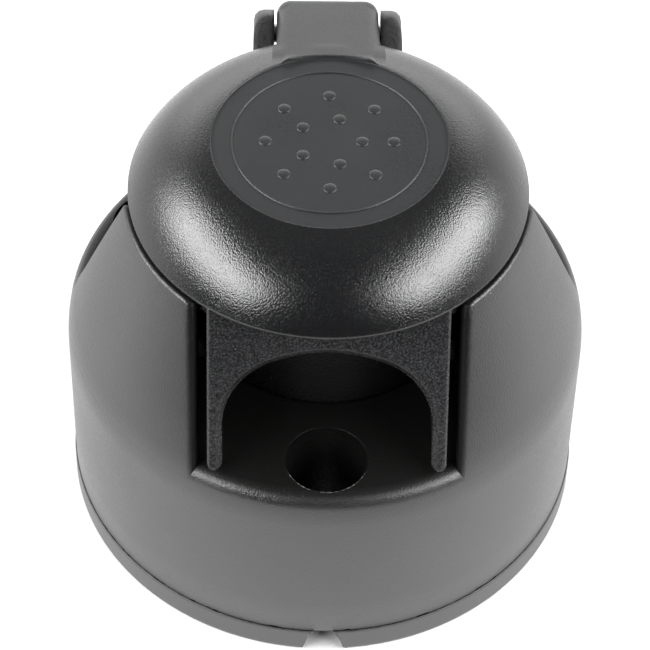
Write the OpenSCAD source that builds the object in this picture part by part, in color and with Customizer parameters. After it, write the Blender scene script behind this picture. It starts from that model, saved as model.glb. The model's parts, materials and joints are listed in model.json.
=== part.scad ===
// Surface-mounted 13-way trailer socket with a spring-closed lid.
// Origin at the centre of the mounting face, +Z towards the lid, hinge on the +Y side.

/* [Mounting foot] */
// Radius of the foot
base_r = 41; // [39:0.5:46]
// Height of the gasket's outer band
gasket_h = 4.8; // [3.5:0.1:6.5]
// Thickness of the gasket under the screw bosses
gasket_floor = 1.6; // [1:0.1:2.5]
// Radial width of the gasket's outer band
band_w = 3.6; // [2.8:0.1:4.4]
// Width of the drain notch at the mounting face
notch_w = 6.2; // [4:0.1:9]
// Spacing of the three mounting holes, centre to centre
hole_spacing = 56; // [54:0.2:57]
// Diameter of each mounting hole
hole_d = 5.5; // [4.3:0.1:6.4]
// Diameter of the tool well above each mounting hole
well_d = 12.5; // [10:0.1:13]
// Thickness of plastic under each screw head
seat_t = 3.6; // [2.5:0.1:6]

/* [Outer shell] */
// Height of the shell's rim above the mounting face
rim_z = 62.6; // [60:0.2:66]
// Radius of the shell's rim
rim_r = 31; // [30.4:0.1:32]
// Wall thickness of the shell
wall_t = 2.4; // [1.8:0.1:2.8]
// Height where the shoulder curve starts
shoulder_z = 31.4; // [29:0.2:33]
// Radius of the shoulder curve
shoulder_r = 22.5; // [20:0.5:26]
// Chamfer on the rim's outer edge
rim_chamfer = 0.5; // [0.2:0.1:0.8]
// Width of each window
window_w = 38.8; // [37.6:0.2:39.6]
// Height of the window shelf
shelf_z = 37.5; // [36.5:0.1:38.5]
// Thickness of the deck that carries the inner body
deck_t = 2.2; // [1.8:0.1:3]
// Rounding of the shelf's front edge
lip_r = 2.6; // [1:0.1:3]

/* [Inner body] */
// Inner radius of the plug cup
cup_r = 18.75; // [18.3:0.05:19]
// Wall thickness of the plug cup
cup_t = 2.25; // [1.8:0.05:2.4]
// Height of the cup's floor
cup_floor_z = 40; // [39.4:0.1:43]
// Width of each slanted bay front
bay_w = 35.9; // [34:0.1:36.4]
// Distance of the bay front from the axis at its top
bay_top_r = 24.3; // [23.8:0.1:25]
// Distance of the bay front from the axis at its foot
bay_foot_r = 35.4; // [34:0.1:36]
// Thickness of the bay front
bay_t = 2.2; // [1.6:0.1:2.6]
// Width of each bay leg
leg_w = 2.25; // [1.8:0.05:2.8]
// Height of the top of the arch
arch_z = 56; // [53:0.2:57]
// Radius of the arch at its top
arch_top_r = 22; // [20:0.5:30]
// Radius of the arch at its two shoulders
arch_side_r = 11.5; // [9:0.5:13]
// Bevel along the arch's front edge
arch_bevel = 0.9; // [0.3:0.1:1]
// Bevel along the bay front's outer edges
bay_bevel = 0.35; // [0.2:0.05:0.5]
// Thickness of the top flange
flange_t = 2.4; // [1.8:0.1:3]

/* [Contacts] */
// Radius of the contact carrier
insert_r = 13.9; // [13.6:0.05:14.1]
// Height of the carrier's front face
insert_face_z = 59; // [56:0.2:60]
// Radius of the outer ring of contacts
outer_ring_r = 10.8; // [10.5:0.05:10.95]
// Radius of the inner ring of contacts
inner_ring_r = 4.9; // [4.8:0.05:5.1]
// Outer diameter of a contact sleeve
sleeve_d = 3.5; // [3:0.1:3.8]
// Diameter of the bore that takes the plug's pin
pin_bore_d = 2.5; // [2:0.1:2.6]
// Diameter of a wire terminal
terminal_d = 4.6; // [4:0.1:4.8]
// Length of a wire terminal
terminal_l = 9; // [7:0.2:9.4]

/* [Lid] */
// Gap between the shell's rim and the lid's rim
lid_gap = 0.5; // [0.4:0.1:1.2]
// How far the lid's rim lies inside the shell's rim
lid_inset = 0.6; // [0.3:0.1:1.2]
// Height of the disc's edge above the lid's rim
dome_h = 10.2; // [9:0.1:12]
// Height of the upright edge below the dome
lid_land = 0.4; // [0.2:0.1:0.8]
// Radius of the flat disc
disc_r = 17.8; // [16:0.1:19]
// Depth of the disc below the dome's edge
disc_recess = 0.3; // [0.2:0.05:0.6]
// Slope of the dome where it meets the disc
dome_slope = 13; // [8:0.5:18]
// Wall thickness of the lid
lid_t = 2.3; // [1.8:0.1:2.6]

/* [Hinge] */
// Distance of the hinge axis behind the shell's rim
hinge_out = 5.6; // [4.8:0.1:6.4]
// Depth of the hinge axis below the shell's rim
hinge_drop = 2.4; // [1.8:0.1:2.8]
// Radius of the lid's hinge barrel
barrel_r = 5.2; // [4.6:0.1:5.4]
// Radius of the rounded hinge ears
ear_r = 3.8; // [3.2:0.1:4.2]
// Thickness of each hinge ear
ear_t = 3.3; // [2.6:0.1:3.6]
// Width and height of the bevels on the outer edge of each hinge ear
ear_bevel = 1.6; // [0.4:0.1:2]
// Width of the lid's hinge arm
arm_w = 16.2; // [15:0.1:17]
// Gap between the arm and each ear
ear_gap = 0.4; // [0.2:0.05:0.6]
// Rounding of the arm's long edges
arm_edge_r = 2.5; // [1.4:0.1:2.8]
// Diameter of the hinge pin
hinge_pin_d = 3; // [2.5:0.1:3.2]
// Diameter of the spring wire
spring_wire_d = 0.9; // [0.7:0.05:1]
// Turns in the lid spring
spring_turns = 5; // [4:1:6]

/* [Hidden] */
$fn = 96;
cut = 1;            // how far a cutting body runs past the face it cuts
fit = 0.1;          // clearance between pieces that are assembled and stay put
loose = 0.3;        // clearance between flat faces of pieces that move apart
running = 0.04;     // radial clearance of the hinge pin in the arm

// Three windows, each over a mounting hole, and three posts between them.
window_angles = [-90, 30, 150];
post_angles = [90, 210, 330];
hole_r = hole_spacing / sqrt(3);
boss_r = well_d / 2 + 2;
rib_half = boss_r - 1.5;

// Outline of the shell: upright wall, shoulder arc, leaning wall.
wall_r = base_r - 0.2;
arc_x = wall_r - shoulder_r;
rim_dist = norm([rim_r - arc_x, rim_z - shoulder_z]);
cone_angle = atan2(rim_z - shoulder_z, rim_r - arc_x) - acos(shoulder_r / rim_dist);
function arc_end_r(inset) = arc_x + (shoulder_r - inset) * cos(cone_angle);
function arc_end_z(inset) = shoulder_z + (shoulder_r - inset) * sin(cone_angle);
function cone_r(z, inset = 0) = arc_end_r(inset) - (z - arc_end_z(inset)) * tan(cone_angle);

// Bay front: a leaning plane from above the shelf to the rim.
leg_z = shelf_z + bay_t / 2;
leg_end_r = leg_w / 2;
bay_lean = atan2(bay_foot_r - bay_top_r, rim_z - leg_z);
function bay_face(z) = bay_foot_r - (z - leg_z) * tan(bay_lean);
bay_slope_l = (rim_z - leg_z) / cos(bay_lean);
arch_half = bay_w / 2 - leg_w;
arch_top = (arch_z - leg_z) / cos(bay_lean);

// Inner body.
cup_or = cup_r + cup_t;
floor_t = 2.5;
tube_end_z = 31;
flange_r = cone_r(rim_z, wall_t) - fit;
post_screw_r = 27;
lug_r = 3.6;
lug_top_z = shelf_z + 8;
screw_r = 1.5;
screw_head_r = 2.8;
screw_head_h = 2.2;
cross_l = 3.2;      // recess in the screw's head
cross_w = 0.7;
slot_w = 3.6;       // bayonet slots in the plug cup
slot_depth = 1.1;
slot_end_z = rim_z - 12;
slot_turn = 28;
groove_d = 0.45;    // depth of the groove for the body seal
seal_wire_r = 0.7;

// Contact carrier and what holds it.
seal_t = 0.5;
insert_top_z = cup_floor_z - floor_t - seal_t;
insert_flange_t = 3;
insert_back_z = insert_top_z - insert_flange_t;
insert_flange_r = cup_r - 0.25;
collar_r = 2.7;
collar_t = 2.4;
lock_top_z = insert_back_z - collar_t;
lock_t = 2.4;
sleeve_r = sleeve_d / 2;
terminal_r = terminal_d / 2;
entry_t = 1.6;
outer_terminal_z = lock_top_z - terminal_l;
inner_terminal_z = outer_terminal_z - terminal_l - 1;
wire_bore_r = 1.2;
clamp_screw_r = 0.9;

// Rear cap.
deck_under_z = shelf_z - deck_t;
gasket_ring_t = 0.6;
cap_top_z = deck_under_z - gasket_ring_t;
cap_flange_r = cup_or + fit + 2.1;
cap_ear_r = lug_r + 0.4;
cap_ledge_z = lock_top_z - lock_t - fit;
cap_inner_r = insert_flange_r - 1.6;
cap_floor_z = inner_terminal_z - 1.6;
cap_floor_t = 2;
cap_wall = 1.8;
spout_r = 8;
spout_end_z = 1;
cable_r = 5.5;

// Lid.
lid_r = rim_r - lid_inset;
lid_z = rim_z + lid_gap;
dome_top_z = lid_z + dome_h;
disc_z = dome_top_z - disc_recess;
// Circle through the lid's rim and the disc's edge, with the given slope at the disc.
chord_x = lid_r - disc_r;
chord_z = dome_h - lid_land;
dome_rad = (chord_x * chord_x + chord_z * chord_z)
         / (2 * (chord_z * cos(dome_slope) - chord_x * sin(dome_slope)));
dome_x = disc_r - dome_rad * sin(dome_slope);
dome_z = dome_top_z - dome_rad * cos(dome_slope);
function dome_height(r, inset = 0) =
    dome_z + sqrt(pow(dome_rad - inset, 2) - pow(r - dome_x, 2));
lid_seal_r = cup_r + 1.6;
lid_seal_w = bay_top_r - lid_seal_r - 0.8;
lid_seal_h = 3.5;
rib_t = 1.1;

// Hinge.
hinge_y = rim_r + hinge_out;
hinge_z = rim_z - hinge_drop;
arm_half = arm_w / 2;
barrel_edge_r = arm_edge_r - 0.3;
ear_inner = arm_half + ear_gap;
ear_outer = ear_inner + ear_t;
pin_r = hinge_pin_d / 2;
notch_floor_z = hinge_z - barrel_r - 1.2;
// The arm's flat top leaves the disc's edge and is tangent to the barrel.
arm_start = [disc_r, dome_top_z + 0.15];
arm_run = [hinge_y - arm_start[0], hinge_z - arm_start[1]];
arm_dist = norm(arm_run);
arm_tilt = atan2(arm_run[1], arm_run[0]) + asin(barrel_r / arm_dist);
relief_r = barrel_r + 0.5;
spring_wire_r = spring_wire_d / 2;
coil_r = pin_r + 0.35 + spring_wire_d;
coil_half = 3;
pocket_r = coil_r + spring_wire_r + 0.35;
pocket_half = coil_half + spring_wire_d + 0.3;

// ---- shared shapes ----

// Half section of a solid bell, inset from the shell's outer face, between two heights.
module bell_section(inset, z0, z1) {
    r = wall_r - inset;
    arc = shoulder_r - inset;
    end_z = arc_end_z(inset);
    arc_z0 = max(z0, shoulder_z - cut);
    if (z0 < shoulder_z)
        translate([0, z0]) square([r, min(z1, shoulder_z) - z0]);
    if (z0 < end_z)
        intersection() {
            union() {
                translate([arc_x, shoulder_z]) circle(r = arc, $fn = 180);
                translate([0, arc_z0]) square([arc_x, arc + cut]);
            }
            translate([0, arc_z0]) square([r + cut, min(z1, end_z) - arc_z0]);
        }
    if (z1 > end_z)
        polygon([[0, max(z0, end_z - cut)], [cone_r(max(z0, end_z), inset), max(z0, end_z)],
                 [cone_r(z1, inset), z1], [0, z1]]);
}

module bell(inset, z0, z1) {
    rotate_extrude() bell_section(inset, z0, z1);
}

module ring(r_out, r_in, z0, z1) {
    difference() {
        translate([0, 0, z0]) cylinder(r = r_out, h = z1 - z0);
        translate([0, 0, z0 - cut]) cylinder(r = r_in, h = z1 - z0 + 2 * cut);
    }
}

module post(r, z0, z1) {
    translate([0, 0, z0]) cylinder(r = r, h = z1 - z0);
}

module at_windows(radius = 0) {
    for (a = window_angles) rotate(a) translate([radius, 0, 0]) children();
}

module at_posts(radius = 0) {
    for (a = post_angles) rotate(a) translate([radius, 0, 0]) children();
}

// A 2D outline in (distance from the axis, height), extruded across the +X direction.
module side_extrude(width) {
    rotate([90, 0, 0]) linear_extrude(height = width, center = true) children();
}

// ---- outer shell ----

// Cuts away the shell above the shelf and rounds the shelf's front edge.
module window_cutter() {
    lip_z = shelf_z - lip_r;
    lip_proud = 0.05;
    lip_x = arc_x + sqrt(pow(shoulder_r - lip_r, 2) - pow(lip_z - shoulder_z, 2)) + lip_proud;
    lean = atan2(lip_z - shoulder_z, lip_x - arc_x);
    reach = 3 * lip_r;
    translate([cup_or, -window_w / 2, shelf_z])
        cube([base_r, window_w, rim_z - shelf_z + cut]);
    intersection() {
        rotate_extrude()
            difference() {
                polygon([[lip_x, lip_z], [lip_x + reach * cos(lean), lip_z + reach * sin(lean)],
                         [lip_x + reach, lip_z + reach], [lip_x, lip_z + reach]]);
                translate([lip_x, lip_z]) circle(r = lip_r);
            }
        translate([cup_or, -window_w / 2, lip_z])
            cube([base_r, window_w, lip_r + cut]);
    }
}

// Wall, deck and chamfered rim in one half section.
module shell_section() {
    deck_hole_r = cup_or + 1;
    difference() {
        bell_section(0, gasket_h, rim_z);
        difference() {
            bell_section(wall_t, gasket_h - cut, rim_z + cut);
            translate([deck_hole_r, deck_under_z]) square([base_r, deck_t]);
        }
        polygon([[rim_r - rim_chamfer, rim_z], [rim_r + cut, rim_z - rim_chamfer - cut],
                 [rim_r + cut, rim_z + cut], [rim_r - rim_chamfer, rim_z + cut]]);
    }
}

// Screw boss and the rib that ties it to the wall, kept inside the wall's mid line.
module boss() {
    intersection() {
        union() {
            translate([hole_r, 0, gasket_floor]) cylinder(r = boss_r, h = shelf_z - gasket_floor);
            translate([hole_r, -rib_half, gasket_h])
                cube([base_r - hole_r, 2 * rib_half, shelf_z - gasket_h]);
        }
        union() {
            bell(wall_t / 2, gasket_h + cut, shelf_z - deck_t / 2);
            post(base_r - band_w - fit, gasket_floor, gasket_h + 2 * cut);
        }
    }
}

module outer_shell() {
    color("#5c5d5f")
    difference() {
        union() {
            rotate_extrude() shell_section();
            at_windows() boss();
        }
        at_windows() window_cutter();
        at_windows(hole_r) {
            post(well_d / 2, gasket_floor + seat_t, shelf_z + cut);
            post(hole_d / 2, 0, gasket_floor + seat_t + cut);
        }
        at_posts(post_screw_r) post(screw_r + fit, deck_under_z - cut, shelf_z + cut);
        translate([-base_r, cup_or, notch_floor_z])
            cube([2 * base_r, base_r, rim_z - notch_floor_z + cut]);
    }
}

// ---- base gasket ----

module drain_notch() {
    top_w = notch_w * 0.76;
    corner = 0.8;
    rotate([90, 0, 0])
        linear_extrude(height = base_r + cut)
            polygon([[-notch_w / 2, -cut], [notch_w / 2, -cut], [notch_w / 2, 0],
                     [top_w / 2, gasket_h - corner], [top_w / 2 - corner, gasket_h + fit],
                     [-top_w / 2 + corner, gasket_h + fit], [-top_w / 2, gasket_h - corner],
                     [-notch_w / 2, 0]]);
}

module base_gasket() {
    band_in = base_r - band_w;
    color("#55565a")
    difference() {
        union() {
            ring(base_r, band_in, 0, gasket_h);
            intersection() {
                at_windows(hole_r) {
                    post(boss_r + 1, 0, gasket_floor);
                    translate([0, -boss_r, 0]) cube([base_r - hole_r, 2 * boss_r, gasket_floor]);
                }
                post(base_r - band_w / 2, 0, gasket_floor);
            }
        }
        at_windows(hole_r) post(hole_d / 2, -cut, gasket_floor + cut);
        intersection() {
            drain_notch();
            translate([-notch_w, -base_r - cut, -cut])
                cube([2 * notch_w, band_w + cut + 0.4, gasket_h + 2 * cut]);
        }
    }
}

// ---- inner body ----

// Three-centred arch, open at the bottom, in the plane of the bay front.
// The side arcs stand a hair proud, so that they cross their neighbours cleanly.
arc_proud = 0.05;
side_x = arch_half - arch_side_r + arc_proud;
crown_y = arch_top - arch_top_r;
side_y = crown_y + sqrt(pow(arch_top_r - arch_side_r + arc_proud, 2) - side_x * side_x);
spread = atan2(side_x, side_y - crown_y);

module arch_outline() {
    reach = arch_top_r / cos(spread) + cut;
    translate([-arch_half, -cut]) square([2 * arch_half, side_y + cut]);
    for (side = [-1, 1]) translate([side * side_x, side_y]) circle(r = arch_side_r, $fn = 120);
    translate([-side_x, side_y]) square([2 * side_x, arch_side_r * cos(spread)]);
    intersection() {
        translate([0, crown_y]) circle(r = arch_top_r, $fn = 180);
        polygon([[0, crown_y], [-reach * sin(spread), crown_y + reach * cos(spread)],
                 [reach * sin(spread), crown_y + reach * cos(spread)]]);
    }
}

// Section of a bevel that starts at distance r, below the front face at height 0.
module bevel_section(r, size) {
    polygon([[r - cut, -size - cut], [r + size + cut, cut], [r - cut, cut]]);
}

// Cuts the bevel along the arch's front edge: three arcs and two straight runs.
module arch_bevel_cut() {
    for (side = [-1, 1]) translate([side * side_x, side_y])
        rotate_extrude() bevel_section(arch_side_r, arch_bevel);
    translate([0, crown_y]) rotate(90 - spread) rotate_extrude(angle = 2 * spread)
        bevel_section(arch_top_r, arch_bevel);
    for (side = [0, 1]) mirror([side, 0, 0])
        translate([0, side_y, 0]) rotate([90, 0, 0]) linear_extrude(height = side_y + cut)
            bevel_section(arch_half, arch_bevel);
}

module bay_edge_cut() {
    half = bay_w / 2;
    for (side = [0, 1]) mirror([side, 0, 0])
        translate([0, bay_slope_l + 2 * cut, 0]) rotate([90, 0, 0])
            linear_extrude(height = bay_slope_l + 3 * cut)
                polygon([[half - bay_bevel - cut, cut], [half + cut, -bay_bevel - cut],
                         [half + cut, cut]]);
}

module bay_front_outline() {
    difference() {
        union() {
            translate([-bay_w / 2, leg_end_r]) square([bay_w, bay_slope_l + cut]);
            for (side = [-1, 1])
                translate([side * (bay_w / 2 - leg_end_r), leg_end_r]) circle(r = leg_end_r);
        }
        arch_outline();
    }
}

// One bay, facing +X: slanted front with its arch, and two side webs back to the cup.
module bay() {
    back = cup_r / 2;
    normal_t = bay_t / cos(bay_lean);
    web_t = leg_w - 2 * fit;
    web_z = leg_z + leg_end_r + loose;
    intersection() {
        translate([bay_face(leg_z), 0, leg_z]) rotate([0, -bay_lean, 0])
            rotate([90, 0, 90]) difference() {
                translate([0, 0, -bay_t]) linear_extrude(height = bay_t) bay_front_outline();
                arch_bevel_cut();
                bay_edge_cut();
            }
        translate([0, -bay_w, 0]) cube([base_r, 2 * bay_w, rim_z]);
    }
    for (side = [-1, 1])
        translate([0, side * (bay_w - leg_w) / 2, 0])
            side_extrude(web_t)
                polygon([[back, web_z], [bay_face(web_z) - normal_t / 2, web_z],
                         [bay_face(rim_z) - normal_t / 2, rim_z], [back, rim_z]]);
}

module top_flange() {
    intersection() {
        bell(wall_t + fit, rim_z - flange_t, rim_z);
        translate([0, 0, rim_z - flange_t])
            intersection_for (a = window_angles) rotate(a)
                translate([-2 * base_r, -2 * base_r, 0])
                    cube([2 * base_r + bay_face(rim_z), 4 * base_r, flange_t]);
    }
}

// Flat arm of a hinge ear, from inside the hinge wall to the hinge axis.
module ear_arm_outline() {
    root_y = flange_r - 4;
    polygon([[root_y, rim_z], [flange_r, rim_z], [hinge_y, hinge_z + ear_r],
             [hinge_y, hinge_z - ear_r], [flange_r, notch_floor_z + fit],
             [root_y, notch_floor_z + fit]]);
}

// One ear on the +X side: a round end and a flat arm, with the outer edge taken off in three bevels.
module ear() {
    top_lean = atan2(rim_z - hinge_z - ear_r, hinge_y - flange_r);
    bevels = [for (a = [90:-30:0]) [ear_bevel * (1 - sin(a)), ear_bevel * (1 - cos(a))]];
    translate([ear_inner, hinge_y, hinge_z]) rotate([0, 90, 0]) rotate_extrude()
        polygon(concat([[0, 0], [ear_r, 0]], [for (b = bevels) [ear_r - b[0], ear_t - b[1]]], [[0, ear_t]]));
    difference() {
        translate([ear_inner, 0, 0]) rotate([90, 0, 90]) linear_extrude(height = ear_t) ear_arm_outline();
        translate([ear_outer, hinge_y, hinge_z + ear_r]) rotate([top_lean, 0, 0])
            rotate([90, 0, 0]) translate([0, 0, -cut]) linear_extrude(height = hinge_y)
                polygon(concat([for (b = bevels) [-b[1], -b[0]]], [[cut, -ear_bevel], [cut, cut], [-ear_bevel, cut]]));
    }
}

// The body's own wall in the notch of the shell, hollowed for the lid's barrel.
module hinge_wall() {
    z0 = notch_floor_z + fit;
    difference() {
        bell(0, z0, rim_z);
        bell(wall_t + 1, z0 - cut, rim_z + cut);
        translate([-base_r, -base_r, z0 - cut]) cube([2 * base_r, base_r + cup_or, rim_z]);
        for (a = [30, 150]) rotate(a)
            translate([0, -window_w / 2 - fit, z0 - cut]) cube([base_r, window_w + 2 * fit, rim_z]);
        along_hinge(-ear_inner, ear_inner) circle(r = relief_r);
    }
}

module hinge_bracket() {
    ear();
    mirror([1, 0, 0]) ear();
    hinge_wall();
}

// Entry slots and locking grooves for the plug's three lugs.
module bayonet_grooves() {
    for (a = post_angles) rotate(a) {
        translate([cup_r - 2 * cut, -slot_w / 2, slot_end_z])
            cube([2 * cut + slot_depth, slot_w, rim_z - slot_end_z + cut]);
        translate([0, 0, slot_end_z]) rotate_extrude(angle = slot_turn)
            translate([cup_r - cut, 0]) square([cut + slot_depth, slot_w]);
    }
}

module socket_body() {
    color("#2b2c2e")
    difference() {
        union() {
            post(cup_or, tube_end_z, rim_z);
            top_flange();
            at_windows() bay();
            at_posts(post_screw_r) post(lug_r, shelf_z + fit, lug_top_z);
            at_posts() translate([cup_or - cut, -1, shelf_z + fit])
                cube([post_screw_r - cup_or + cut, 2, lug_top_z - shelf_z - fit]);
            hinge_bracket();
        }
        post(cup_r, cup_floor_z, rim_z + cut);
        post(cup_r, tube_end_z - cut, cup_floor_z - floor_t);
        post(insert_r + 0.2, cup_floor_z - floor_t - cut, cup_floor_z + cut);
        bayonet_grooves();
        difference() {
            post(cup_or + cut, deck_under_z + fit, shelf_z - fit);
            post(cup_or - groove_d, deck_under_z, shelf_z);
        }
        at_posts(post_screw_r) post(screw_r + 0.02, shelf_z, lug_top_z - 1.2);
        translate([-ear_outer - cut, hinge_y, hinge_z]) rotate([0, 90, 0])
            cylinder(r = pin_r + 0.02, h = 2 * (ear_outer + cut));
    }
}

// ---- contacts ----

// Contacts 1 to 8 lie on the outer ring, 9 to 13 on the inner ring.
function is_outer(i) = i <= 8;
function contact_angle(i) = is_outer(i) ? -90 + 45 * (i - 0.5) : -90 + 72 * (i - 8.5);
function contact_radius(i) = is_outer(i) ? outer_ring_r : inner_ring_r;
function terminal_z(i) = is_outer(i) ? outer_terminal_z : inner_terminal_z;

module at_contact(i) {
    rotate(contact_angle(i)) translate([contact_radius(i), 0, 0]) children();
}

module contact_insert() {
    color("#1f2022")
    difference() {
        union() {
            post(insert_flange_r, insert_back_z, insert_top_z);
            post(insert_r, insert_back_z, insert_face_z);
        }
        for (i = [1:13]) at_contact(i) {
            post(sleeve_r + fit, insert_back_z - cut, insert_face_z - entry_t);
            post(pin_bore_d / 2 + 0.15, insert_face_z - entry_t - cut, insert_face_z + cut);
        }
        // keyway for the plug
        translate([-1.6, -insert_r - cut, cup_floor_z + 4])
            cube([3.2, cut + 1, insert_face_z - cup_floor_z]);
    }
}

module insert_seal() {
    color("#3a3a3a") ring(insert_flange_r, insert_r + 0.4, insert_top_z, insert_top_z + seal_t);
}

module contact(i) {
    tip_z = insert_face_z - entry_t - fit;
    z = terminal_z(i);
    color("#c9a24a")
    at_contact(i)
    difference() {
        union() {
            post(sleeve_r, lock_top_z, tip_z);
            post(collar_r, lock_top_z, insert_back_z);
            post(sleeve_r - 0.2, z + terminal_l / 2, lock_top_z + cut);
            post(terminal_r, z, z + terminal_l);
        }
        post(pin_bore_d / 2, tip_z - 16, tip_z + cut);
        translate([-sleeve_r - cut, -0.25, tip_z - 9]) cube([2 * (sleeve_r + cut), 0.5, 9 + cut]);
        post(wire_bore_r, z - cut, z + terminal_l - 2);
        translate([0, 0, z + terminal_l / 2]) rotate([0, 90, 0])
            cylinder(r = clamp_screw_r + 0.02, h = terminal_r + cut);
    }
}

module terminal_screws() {
    head_h = 1.5;
    color("#b8babd")
    for (i = [1:13]) at_contact(i) translate([0, 0, terminal_z(i) + terminal_l / 2])
        rotate([0, 90, 0]) difference() {
            union() {
                translate([0, 0, wire_bore_r * 0.6])
                    cylinder(r = clamp_screw_r, h = terminal_r - wire_bore_r * 0.6 + fit);
                translate([0, 0, terminal_r + fit]) cylinder(r = 1.5, h = head_h);
            }
            translate([-2, -0.2, terminal_r + fit + head_h - 0.6]) cube([4, 0.4, 1]);
        }
}

module contact_lock() {
    color("#e8e6df")
    difference() {
        post(insert_flange_r, lock_top_z - lock_t, lock_top_z);
        for (i = [1:13]) at_contact(i)
            post(terminal_r + fit, lock_top_z - lock_t - cut, lock_top_z + cut);
    }
}

// ---- rear cap ----

module rear_cap_section() {
    neck_z = cap_floor_z + 7;
    polygon([[spout_r, spout_end_z], [spout_r + cap_wall, spout_end_z],
             [spout_r + cap_wall, cap_floor_z - cap_floor_t],
             [spout_r + 2 * cap_wall, cap_floor_z - cap_floor_t],
             [cap_inner_r + cap_wall, neck_z], [cap_inner_r + cap_wall, cap_ledge_z - 3],
             [cap_flange_r, cap_ledge_z], [cap_flange_r, cap_top_z],
             [cup_or + fit, cap_top_z], [cup_or + fit, tube_end_z - fit],
             [insert_flange_r + fit, tube_end_z - fit], [insert_flange_r + fit, cap_ledge_z],
             [cap_inner_r, cap_ledge_z], [cap_inner_r, neck_z],
             [spout_r + cap_wall + 1, cap_floor_z], [spout_r, cap_floor_z]]);
}

module rear_cap() {
    ear_z = cap_top_z - 3;
    color("#28292b")
    difference() {
        union() {
            rotate_extrude() rear_cap_section();
            at_posts(post_screw_r) post(cap_ear_r, ear_z, deck_under_z);
            at_posts() translate([cap_flange_r - 0.8, -lug_r, ear_z])
                cube([post_screw_r - cap_flange_r + 0.8, 2 * lug_r, cap_top_z - ear_z]);
        }
        at_posts(post_screw_r) post(screw_r + fit, ear_z - cut, deck_under_z + cut);
    }
}

module cap_gasket() {
    color("#3a3a3a")
        ring(post_screw_r - cap_ear_r - fit, cup_or + fit, cap_top_z, deck_under_z);
}

module cable_grommet() {
    color("#2f2f2f")
    rotate_extrude()
        polygon([[cable_r, spout_end_z], [spout_r - 0.05, spout_end_z],
                 [spout_r - 0.05, cap_floor_z], [spout_r + 2, cap_floor_z],
                 [spout_r + 2, cap_floor_z + 1.2], [cable_r, cap_floor_z + 1.2]]);
}

module body_seal() {
    color("#3a3a3a")
    rotate_extrude()
        translate([cup_or - groove_d + seal_wire_r, (deck_under_z + shelf_z) / 2])
            circle(r = seal_wire_r, $fn = 32);
}

module assembly_screws() {
    head_z = cap_top_z - 3;
    color("#b8babd")
    at_posts(post_screw_r) difference() {
        union() {
            post(screw_r, head_z - cut, lug_top_z - 2);
            post(screw_head_r, head_z - screw_head_h, head_z);
        }
        for (a = [0, 90]) rotate(a)
            translate([-cross_l / 2, -cross_w / 2, head_z - screw_head_h - cut])
                cube([cross_l, cross_w, cut + screw_head_h / 2]);
    }
}

// ---- hinge ----

module along_hinge(x0, x1) {
    translate([x0, hinge_y, hinge_z]) rotate([0, 90, 0]) linear_extrude(height = x1 - x0) children();
}

module hinge_pin() {
    color("#c4c6c8") along_hinge(-ear_outer + 0.4, ear_outer - 0.4) circle(r = pin_r);
}

// Centre line of the torsion spring: a leg, the coil, and a leg.
coil_steps = 14 * spring_turns;
leg_l = coil_r + 2.2;
low_leg_l = sqrt(pow(relief_r, 2) - pow(coil_r + spring_wire_r, 2)) - fit;
function coil_point(t) =
    let (turn = 360 * (spring_turns + 0.5) * t)
    [-coil_half + 2 * coil_half * t, hinge_y - coil_r * sin(turn), hinge_z - coil_r * cos(turn)];
spring_path = concat(
    [[-coil_half, hinge_y - low_leg_l, hinge_z - coil_r]],
    [for (k = [0:coil_steps]) coil_point(k / coil_steps)],
    [[coil_half, hinge_y - leg_l, hinge_z + coil_r]]
);

// A round wire swept along a path, with rings square to the path.
module wire(path, r, sides = 8) {
    last = len(path) - 1;
    function tangent(k) =
        let (v = path[min(k + 1, last)] - path[max(k - 1, 0)]) v / norm(v);
    function across(t) = let (v = cross(t, [1, 0.001, 0])) v / norm(v);
    rings = [for (k = [0:last])
        let (t = tangent(k), u = across(t), v = cross(t, u))
        for (s = [0:sides - 1]) path[k] + r * (u * cos(360 * s / sides) + v * sin(360 * s / sides))];
    walls = [for (k = [0:last - 1], s = [0:sides - 1])
        let (n = (s + 1) % sides)
        [k * sides + s, k * sides + n, (k + 1) * sides + n, (k + 1) * sides + s]];
    caps = [[for (s = [sides - 1:-1:0]) s], [for (s = [0:sides - 1]) last * sides + s]];
    polyhedron(points = rings, faces = concat(walls, caps), convexity = 8);
}

module lid_spring() {
    color("#9fa2a6") wire(spring_path, spring_wire_r);
}

// ---- lid ----

module dome_section(inset, z0) {
    intersection() {
        union() {
            translate([dome_x, dome_z]) circle(r = dome_rad - inset, $fn = 180);
            translate([0, z0 - cut]) square([dome_x, disc_z - z0 + 2 * cut]);
        }
        translate([0, z0]) square([lid_r - inset, disc_z - inset - z0]);
    }
}

module dome_edge_section() {
    intersection() {
        translate([dome_x, dome_z]) circle(r = dome_rad, $fn = 180);
        translate([disc_r, disc_z - cut]) square([lid_r - disc_r, disc_recess + cut]);
    }
}

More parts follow.
